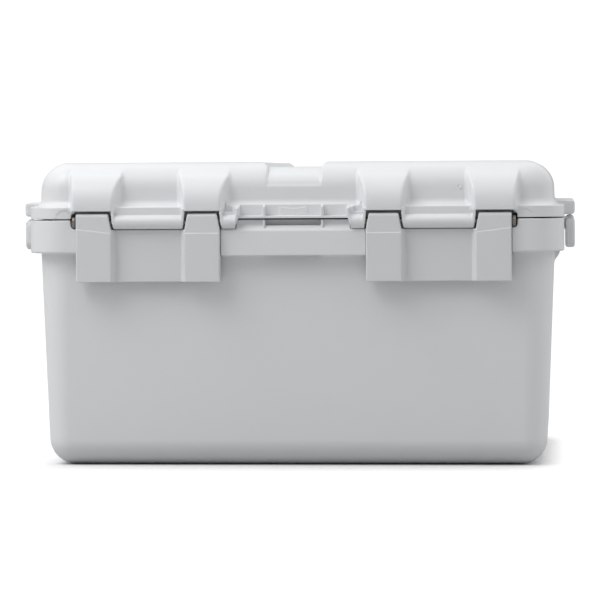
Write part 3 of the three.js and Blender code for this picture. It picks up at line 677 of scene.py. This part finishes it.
def handle(x, y, z):
    """The right side handle: a flat U with a rounded grip and round tops at the pivots."""
    w = np.abs(y)
    middle_z = (HANDLE_Z[0] + HANDLE_Z[1]) / 2
    outline = (HANDLE_HALF, (HANDLE_Z[1] - HANDLE_Z[0]) / 2, HANDLE_CORNER)
    shape = both(rectangle(y, z - middle_z, outline), between(x, *HANDLE_X), 3.0)
    gap = both(w - HANDLE_HALF + HANDLE_ARM, HANDLE_Z[0] + HANDLE_GRIP - z, 6.0)
    shape = without(shape, gap, 3.0)
    below, radius = HANDLE_TOP_ROUND
    shape = both(shape, both(between(x, *HANDLE_X), z - HANDLE_Z[1] + below, radius))
    bore = np.hypot(x - HANDLE_PIVOT[0], z - HANDLE_PIVOT[1]) - HANDLE_BORE_RADIUS
    return without(shape, both(bore, w - 127.8))


def handle_lines():
    x = grid_lines(HANDLE_X[0] - 1.07, HANDLE_X[1] + 1, 1.0, [(270, 290, 0.7)])
    y = mirrored_lines(132, 5, [(108, 132, 1.0)])
    z = grid_lines(HANDLE_Z[0] - 1.13, HANDLE_Z[1] + 1, 1.0, [(220, 256, 0.9)])
    return x, y, z


# ---------------------------------------------------------------- pins, seal and vent plug

def turned(name, profile, start, axis, material, steps=40):
    """A piece turned on a lathe: profile is [distance along, radius] from start along an axis."""
    along = Vector(axis)
    side = along.orthogonal().normalized()
    up = along.cross(side)
    points, faces = [], []
    for distance, radius in profile:
        for i in range(steps):
            angle = 2 * math.pi * i / steps
            offset = (side * math.cos(angle) + up * math.sin(angle)) * radius
            points.append(Vector(start) + along * distance + offset)
    for row in range(len(profile) - 1):
        for i in range(steps):
            j = (i + 1) % steps
            faces.append((row * steps + i, row * steps + j, (row + 1) * steps + j, (row + 1) * steps + i))
    last = (len(profile) - 1) * steps
    faces.append(tuple(range(steps))[::-1])
    faces.append(tuple(range(last, last + steps)))
    piece = new_piece(name, points, faces, material)
    piece.data.set_sharp_from_angle(angle=math.radians(40))
    return piece


PIN_HEAD = 3.5


def long_pin(name, side, end_y, body, node):
    """A latch or hinge pin: a chamfered shank with a slightly domed head at its outer end."""
    inner, outer = PIN_BOX[0][0], PIN_BOX[1][0]
    length = outer - inner
    neck = length - PIN_HEAD
    shank = [(0, 1.9), (0.6, 2.5), (neck, 2.5)]
    head = [(neck, 5.5), (neck + 0.4, 5.9), (length - 0.9, 5.9), (length - 0.35, 5.4), (length - 0.1, 4.0)]
    profile = [*shank, *head, (length, 1.5)]
    piece = turned(name, profile, (side * inner, end_y * PIVOT_Y, PIVOT_Z), (side, 0, 0), STEEL)
    return finish_piece(piece, body, "steel", node)


def handle_pin(side, end, node):
    low, high = HANDLE_PIN_BOX[0][1], HANDLE_PIN_BOX[1][1]
    length = high - low
    profile = [(0, 1.5), (0.5, 2.0), (length - 0.5, 2.0), (length, 1.5)]
    start = (side * HANDLE_PIVOT[0], end * low, HANDLE_PIVOT[1])
    piece = turned(node + "_steel", profile, start, (0, end, 0), STEEL, 24)
    return finish_piece(piece, "base", "steel", node)


def seal_ring():
    """A soft D-section ring swept round the lid's groove, its lip downwards."""
    low, high = SEAL_BOX[0][2], SEAL_BOX[1][2]
    half = 1.45
    section = [(-half, high), (-half, low + 1.6)]
    for i in range(7):
        angle = math.pi + math.pi * i / 6
        section.append((half * math.cos(angle), low + 1.5 + half * math.sin(angle)))
    section += [(half, low + 1.6), (half, high)]
    radius = BODY[2] - WALL / 2
    centre = (BODY[0] - BODY[2], BODY[1] - BODY[2])
    steps = 14
    points, faces = [], []
    for corner in range(4):
        sign_x = 1 if corner in (0, 3) else -1
        sign_y = 1 if corner < 2 else -1
        for step in range(steps + 1):
            angle = (corner + step / steps) * math.pi / 2
            for off, height in section:
                points.append((
                    sign_x * centre[0] + (radius + off) * math.cos(angle),
                    sign_y * centre[1] + (radius + off) * math.sin(angle),
                    height))
    count, rings = len(section), 4 * (steps + 1)
    for ring in range(rings):
        for i in range(count):
            j, after = (i + 1) % count, (ring + 1) % rings
            faces.append((ring * count + i, after * count + i, after * count + j, ring * count + j))
    return finish_piece(new_piece("seal_ring", points, faces, RUBBER), "lid", "seal", "rim_seal")


def vent():
    low, high = frame_box("vent_plug")
    x, z = (low[0] + high[0]) / 2, (low[2] + high[2]) / 2
    length = high[1] - low[1]
    profile = [(0, 0.8), (0.12, 1.5), (0.4, 2.1), (0.7, 2.3), (0.85, 2.3), (0.86, 1.55), (length, 1.5)]
    piece = turned("vent_cap", profile, (x, low[1], z), (0, 1, 0), SHELL, 32)
    return finish_piece(piece, "lid", "hardware_plastic", "vent_plug")


# ---------------------------------------------------------------- foam

def foam_slab(x, y, z, low, high, edge=2.5):
    """Foam filling the tub between two heights."""
    lean = BASE_DRAFT * (LID_BOTTOM - z)
    return both(rectangle(x, y, TUB, WALL + 1 + lean), between(z, low, high), edge)


def pocket(x, y, z, x_range, y_range, floor, corner):
    """A pocket open at the top, its rim softened by the caller."""
    middle = ((x_range[0] + x_range[1]) / 2, (y_range[0] + y_range[1]) / 2)
    half = ((x_range[1] - x_range[0]) / 2, (y_range[1] - y_range[0]) / 2)
    return both(rectangle(x - middle[0], y - middle[1], (*half, corner)), floor - z, 2.0)


DRONE_X = -72.0
DRONE_BODY, DRONE_BODY_CORNER = (-92, 92), 40
DRONE_ARM, DRONE_ARM_FLOOR = (205, 38, 36), 176  # half length, half width and corner radius
DRONE_LEGS = (-74, 74)

# Pockets as (X range, Y range, floor, corner radius)
CONTROLLER = ((128, 244), (-170, 8), 152, 22)
BATTERIES = [((128, 244), (start, start + 44), 170, 6) for start in (22, 72, 122)]
CHARGER = ((118, 226), (-150, -20), 60, 14)
SPARES = ((118, 226), (10, 150), 76, 14)
EGG_PITCH, EGG_HEIGHT, EGG_MIDDLE = 34.0, 8.0, 8.5


def upper_tray(x, y, z):
    low, high = frame_box("drone_tray")[0][2], frame_box("drone_tray")[1][2]
    shape = foam_slab(x, y, z, low, high)
    u, v = x - DRONE_X, y
    cut = pocket(u, v, z, DRONE_BODY, DRONE_BODY, low - 20, DRONE_BODY_CORNER)
    for a, b in ((u + v, u - v), (u - v, u + v)):
        reach = rectangle(a * math.sqrt(0.5), b * math.sqrt(0.5), DRONE_ARM)
        cut = np.minimum(cut, both(reach, DRONE_ARM_FLOOR - z, 2.0))
    for place in (CONTROLLER, *BATTERIES):
        cut = np.minimum(cut, pocket(x, y, z, *place))
    return without(shape, cut, 3.0)


def lower_tray(x, y, z):
    low, high = frame_box("accessory_tray")[0][2], frame_box("accessory_tray")[1][2]
    shape = foam_slab(x, y, z, low, high)
    cut = pocket(x - DRONE_X, y, z, DRONE_LEGS, DRONE_LEGS, 45, 24)
    for place in (CHARGER, SPARES):
        cut = np.minimum(cut, pocket(x, y, z, *place))
    return without(shape, cut, 3.0)


def bottom_pad(x, y, z):
    low, high = frame_box("base_pad")[0][2], frame_box("base_pad")[1][2]
    lean = BASE_DRAFT * (LID_BOTTOM - z)
    side = rectangle(x, y, TUB, WALL + 1 + lean)
    return both(both(side, low - z, 19.0), z - high, 2.0)


def egg_crate(x, y, z):
    """The lid's pad: rows of soft peaks that press down on what is packed below."""
    low, high = frame_box("lid_foam")[0][2], frame_box("lid_foam")[1][2]
    side = rectangle(x, y, BODY, WALL + 1)
    wave = np.sin(x * math.pi / EGG_PITCH) * np.sin(y * math.pi / EGG_PITCH)
    relief = (low + EGG_MIDDLE + EGG_HEIGHT * wave - z) * 0.72
    return both(both(side, z - high, 18.0), relief, 2.0)


def foam_piece(name, distance, z_range, body, node, step=3.4):
    reach = mirrored_lines(262, step, [(0, 262, step)])
    depth = mirrored_lines(186, step, [(0, 186, step)])
    height = grid_lines(z_range[0] - 2.31, z_range[1] + 2, step, [(z_range[0], z_range[1], step)])
    piece = moulded(name, distance, (reach, depth, height), FOAM, 2.0)
    finish_piece(piece, body, "foam", node)
    return piece


# ---------------------------------------------------------------- stage, lights and camera

AZIMUTH = math.radians(4.657)
TILT = math.radians(2.103)
ROLL = math.radians(-0.334)
PAN = math.radians(0.124)
DISTANCE = 3.3827
EYE_HEIGHT = 0.295
LENS = 200.0

# Soft lamps as (degrees round from the front, positive to the right; degrees up; strength)
LAMPS = (
    (-70, 60, 1.28),
    (-115, 30, 0.50),
    (-5, 52, 0.27),
    (0, 88, 0.15),
    (110, 35, 1.32),
    (180, 35, 0.42),
    (70, 8, 0.42),
)
LAMP_SPREAD = math.radians(90)

# Square softboxes to the left, as (place in metres, side, power)
SOFTBOXES = (
    ((-2.1, -1.35, 0.75), 1.2, 3.0),
    ((-1.2, -1.0, 1.9), 1.2, 15.5),
)
AIM = Vector((0, 0, 0.2))
STUDIO_LIGHT = 0.036
STUDIO_SEEN = 1.1
FLOOR_BOUNCE = 0.5
FLOOR_SEEN = 0.93
SHADOW_REACH = (0.035, 0.13)  # metres out from the footprint where the floor's painted white glow fades in over the lamps' shadows, from and to
SHADOW_HASTE = (("X", 2.4), ("Y", 1.0))  # how much faster the painted glow takes over along each axis


def add_camera():
    """A long lens a little to the right of the case and level with its top."""
    data = bpy.data.cameras.new("camera")
    data.lens = LENS
    data.sensor_width = 36.0
    data.clip_end = 40
    camera = bpy.data.objects.new("camera", data)
    bpy.context.scene.collection.objects.link(camera)
    front = -ARM_FACE * MM
    camera.location = (
        DISTANCE * math.sin(AZIMUTH), front - DISTANCE * math.cos(AZIMUTH), EYE_HEIGHT)
    look = Vector((-math.sin(AZIMUTH - PAN), math.cos(AZIMUTH - PAN), -math.tan(TILT)))
    camera.rotation_mode = "QUATERNION"
    camera.rotation_quaternion = look.to_track_quat("-Z", "Y") @ Quaternion((0, 0, 1), ROLL)
    bpy.context.scene.camera = camera


def add_lamp(name, kind, place, energy):
    """A lamp at a place in metres, turned towards the middle of the case."""
    data = bpy.data.lights.new(name, kind)
    data.energy = energy
    lamp = bpy.data.objects.new(name, data)
    bpy.context.scene.collection.objects.link(lamp)
    lamp.location = place
    lamp.rotation_mode = "QUATERNION"
    lamp.rotation_quaternion = (Vector(place) - AIM).to_track_quat("Z", "Y")
    lamp.visible_camera = False
    return data


def add_lamps():
    for i, (around, up, strength) in enumerate(LAMPS):
        around, up = math.radians(around), math.radians(up)
        towards = Vector((
            math.sin(around) * math.cos(up), -math.cos(around) * math.cos(up), math.sin(up)))
        data = add_lamp(f"lamp_{i}", "SUN", towards * 4 + AIM, strength)
        data.angle = LAMP_SPREAD
    for i, (place, side, power) in enumerate(SOFTBOXES):
        data = add_lamp(f"softbox_{i}", "AREA", place, power)
        data.shape = "SQUARE"
        data.size = side


def by_ray(tree, seen, unseen):
    """A value that the camera sees, and another one for every other ray."""
    rays = tree.nodes.new("ShaderNodeLightPath")
    level = tree.nodes.new("ShaderNodeMapRange")
    level.inputs["To Min"].default_value = unseen
    level.inputs["To Max"].default_value = seen
    tree.links.new(rays.outputs["Is Camera Ray"], level.inputs["Value"])
    return level.outputs["Result"]


def calculate(tree, operation, a, b):
    """A math node's result; b is a number or another node's result."""
    node = tree.nodes.new("ShaderNodeMath")
    node.operation = operation
    tree.links.new(a, node.inputs[0])
    if isinstance(b, (int, float)):
        node.inputs[1].default_value = b
    else:
        tree.links.new(b, node.inputs[1])
    return node.outputs["Value"]


def off_the_footprint(tree):
    """Nought under and close to the case, rising to one further out: the mask for the floor's painted
    white glow, which paints out the lamps' shadows there.
    """
    where = tree.nodes.new("ShaderNodeNewGeometry")
    split = tree.nodes.new("ShaderNodeSeparateXYZ")
    tree.links.new(where.outputs["Position"], split.inputs["Vector"])
    squares = []
    for half, (axis, haste) in zip(TUB, SHADOW_HASTE):
        foot = (half - BASE_FILLET - BASE_DRAFT * LID_BOTTOM) * MM
        size = calculate(tree, "MULTIPLY", split.outputs[axis], split.outputs[axis])
        out = calculate(tree, "SUBTRACT", calculate(tree, "POWER", size, 0.5), foot)
        out = calculate(tree, "MAXIMUM", calculate(tree, "MULTIPLY", out, haste), 0.0)
        squares.append(calculate(tree, "MULTIPLY", out, out))
    distance = calculate(tree, "POWER", calculate(tree, "ADD", *squares), 0.5)
    fade = tree.nodes.new("ShaderNodeMapRange")
    fade.interpolation_type = "SMOOTHSTEP"
    fade.inputs["From Min"].default_value = SHADOW_REACH[0]
    fade.inputs["From Max"].default_value = SHADOW_REACH[1]
    tree.links.new(distance, fade.inputs["Value"])
    return fade.outputs["Result"]


def add_stage():
    """A plain pale floor and a white studio; both throw less light back than they show."""
    bpy.ops.mesh.primitive_plane_add(size=60, location=(0, 0, -0.0004))
    floor = bpy.context.object
    floor.name = "floor"
    material = bpy.data.materials.new("floor")
    material.use_nodes = True
    tree = material.node_tree
    shader = tree.nodes["Principled BSDF"]
    grey = tree.nodes.new("ShaderNodeCombineColor")
    shade = by_ray(tree, FLOOR_SEEN, FLOOR_BOUNCE)
    for channel in ("Red", "Green", "Blue"):
        tree.links.new(shade, grey.inputs[channel])
    tree.links.new(grey.outputs["Color"], shader.inputs["Base Color"])
    shader.inputs["Roughness"].default_value = 0.9
    # Painted light: for the camera the floor glows white away from the case, painting out the lamps'
    # shadows there; only the contact shadow near the footprint is rendered
    glow = tree.nodes.new("ShaderNodeEmission")
    glow.inputs["Strength"].default_value = STUDIO_SEEN
    blend = tree.nodes.new("ShaderNodeMixShader")
    painted_glow_mask = calculate(tree, "MULTIPLY", off_the_footprint(tree), by_ray(tree, 1.0, 0.0))
    tree.links.new(painted_glow_mask, blend.inputs["Fac"])
    tree.links.new(shader.outputs["BSDF"], blend.inputs[1])
    tree.links.new(glow.outputs["Emission"], blend.inputs[2])
    tree.links.new(blend.outputs["Shader"], tree.nodes["Material Output"].inputs["Surface"])
    floor.data.materials.append(material)
    world = bpy.data.worlds.new("studio")
    world.use_nodes = True
    background = world.node_tree.nodes["Background"]
    background.inputs["Color"].default_value = (1, 1, 1, 1)
    strength = by_ray(world.node_tree, STUDIO_SEEN, STUDIO_LIGHT)
    world.node_tree.links.new(strength, background.inputs["Strength"])
    bpy.context.scene.world = world
    bpy.context.scene.view_settings.view_transform = "Standard"


# ---------------------------------------------------------------- run

SIDES = (("left", -1), ("right", 1))
ENDS = (("front", -1), ("rear", 1))


def clear_default_scene():
    known = set(frame["nodes"].values()) | set(frame["bodies"].values())
    for thing in list(bpy.data.objects):
        if thing not in known:
            bpy.data.objects.remove(thing)


def build():
    finish_piece(moulded("lid", lid, lid_lines(), SHELL), "lid", "shell", "lid_shell")
    finish_piece(moulded("base", base, base_lines(), SHELL), "base", "shell", "base_shell")
    for side, sign in SIDES:
        mirror = sign < 0
        piece = moulded(f"latch_{side}_moulding", latch, latch_lines(), HARDWARE, 0.6, mirror)
        finish_piece(piece, f"latch_{side}", "hardware_plastic", f"latch_{side}")
        piece = moulded(f"handle_{side}_moulding", handle, handle_lines(), HARDWARE, 0.6, mirror)
        finish_piece(piece, f"handle_{side}", "hardware_plastic", f"side_handle_{side}")
        long_pin(f"latch_pin_{side}_steel", sign, -1, "lid", f"latch_pin_{side}")
        long_pin(f"hinge_pin_{side}_steel", sign, 1, "base", f"hinge_pin_{side}")
        for end, direction in ENDS:
            handle_pin(sign, direction, f"handle_pin_{side}_{end}")
    seal_ring()
    vent()
    foam_piece("drone_foam", upper_tray, (131, 251), "base", "drone_tray")
    foam_piece("accessory_foam", lower_tray, (26, 131), "base", "accessory_tray", 4.5)
    foam_piece("bottom_foam", bottom_pad, (6, 26), "base", "base_pad", 4.5)
    foam_piece("lid_foam_crate", egg_crate, (258, 301), "lid", "lid_foam")


clear_default_scene()
add_camera()
add_lamps()
add_stage()
build()
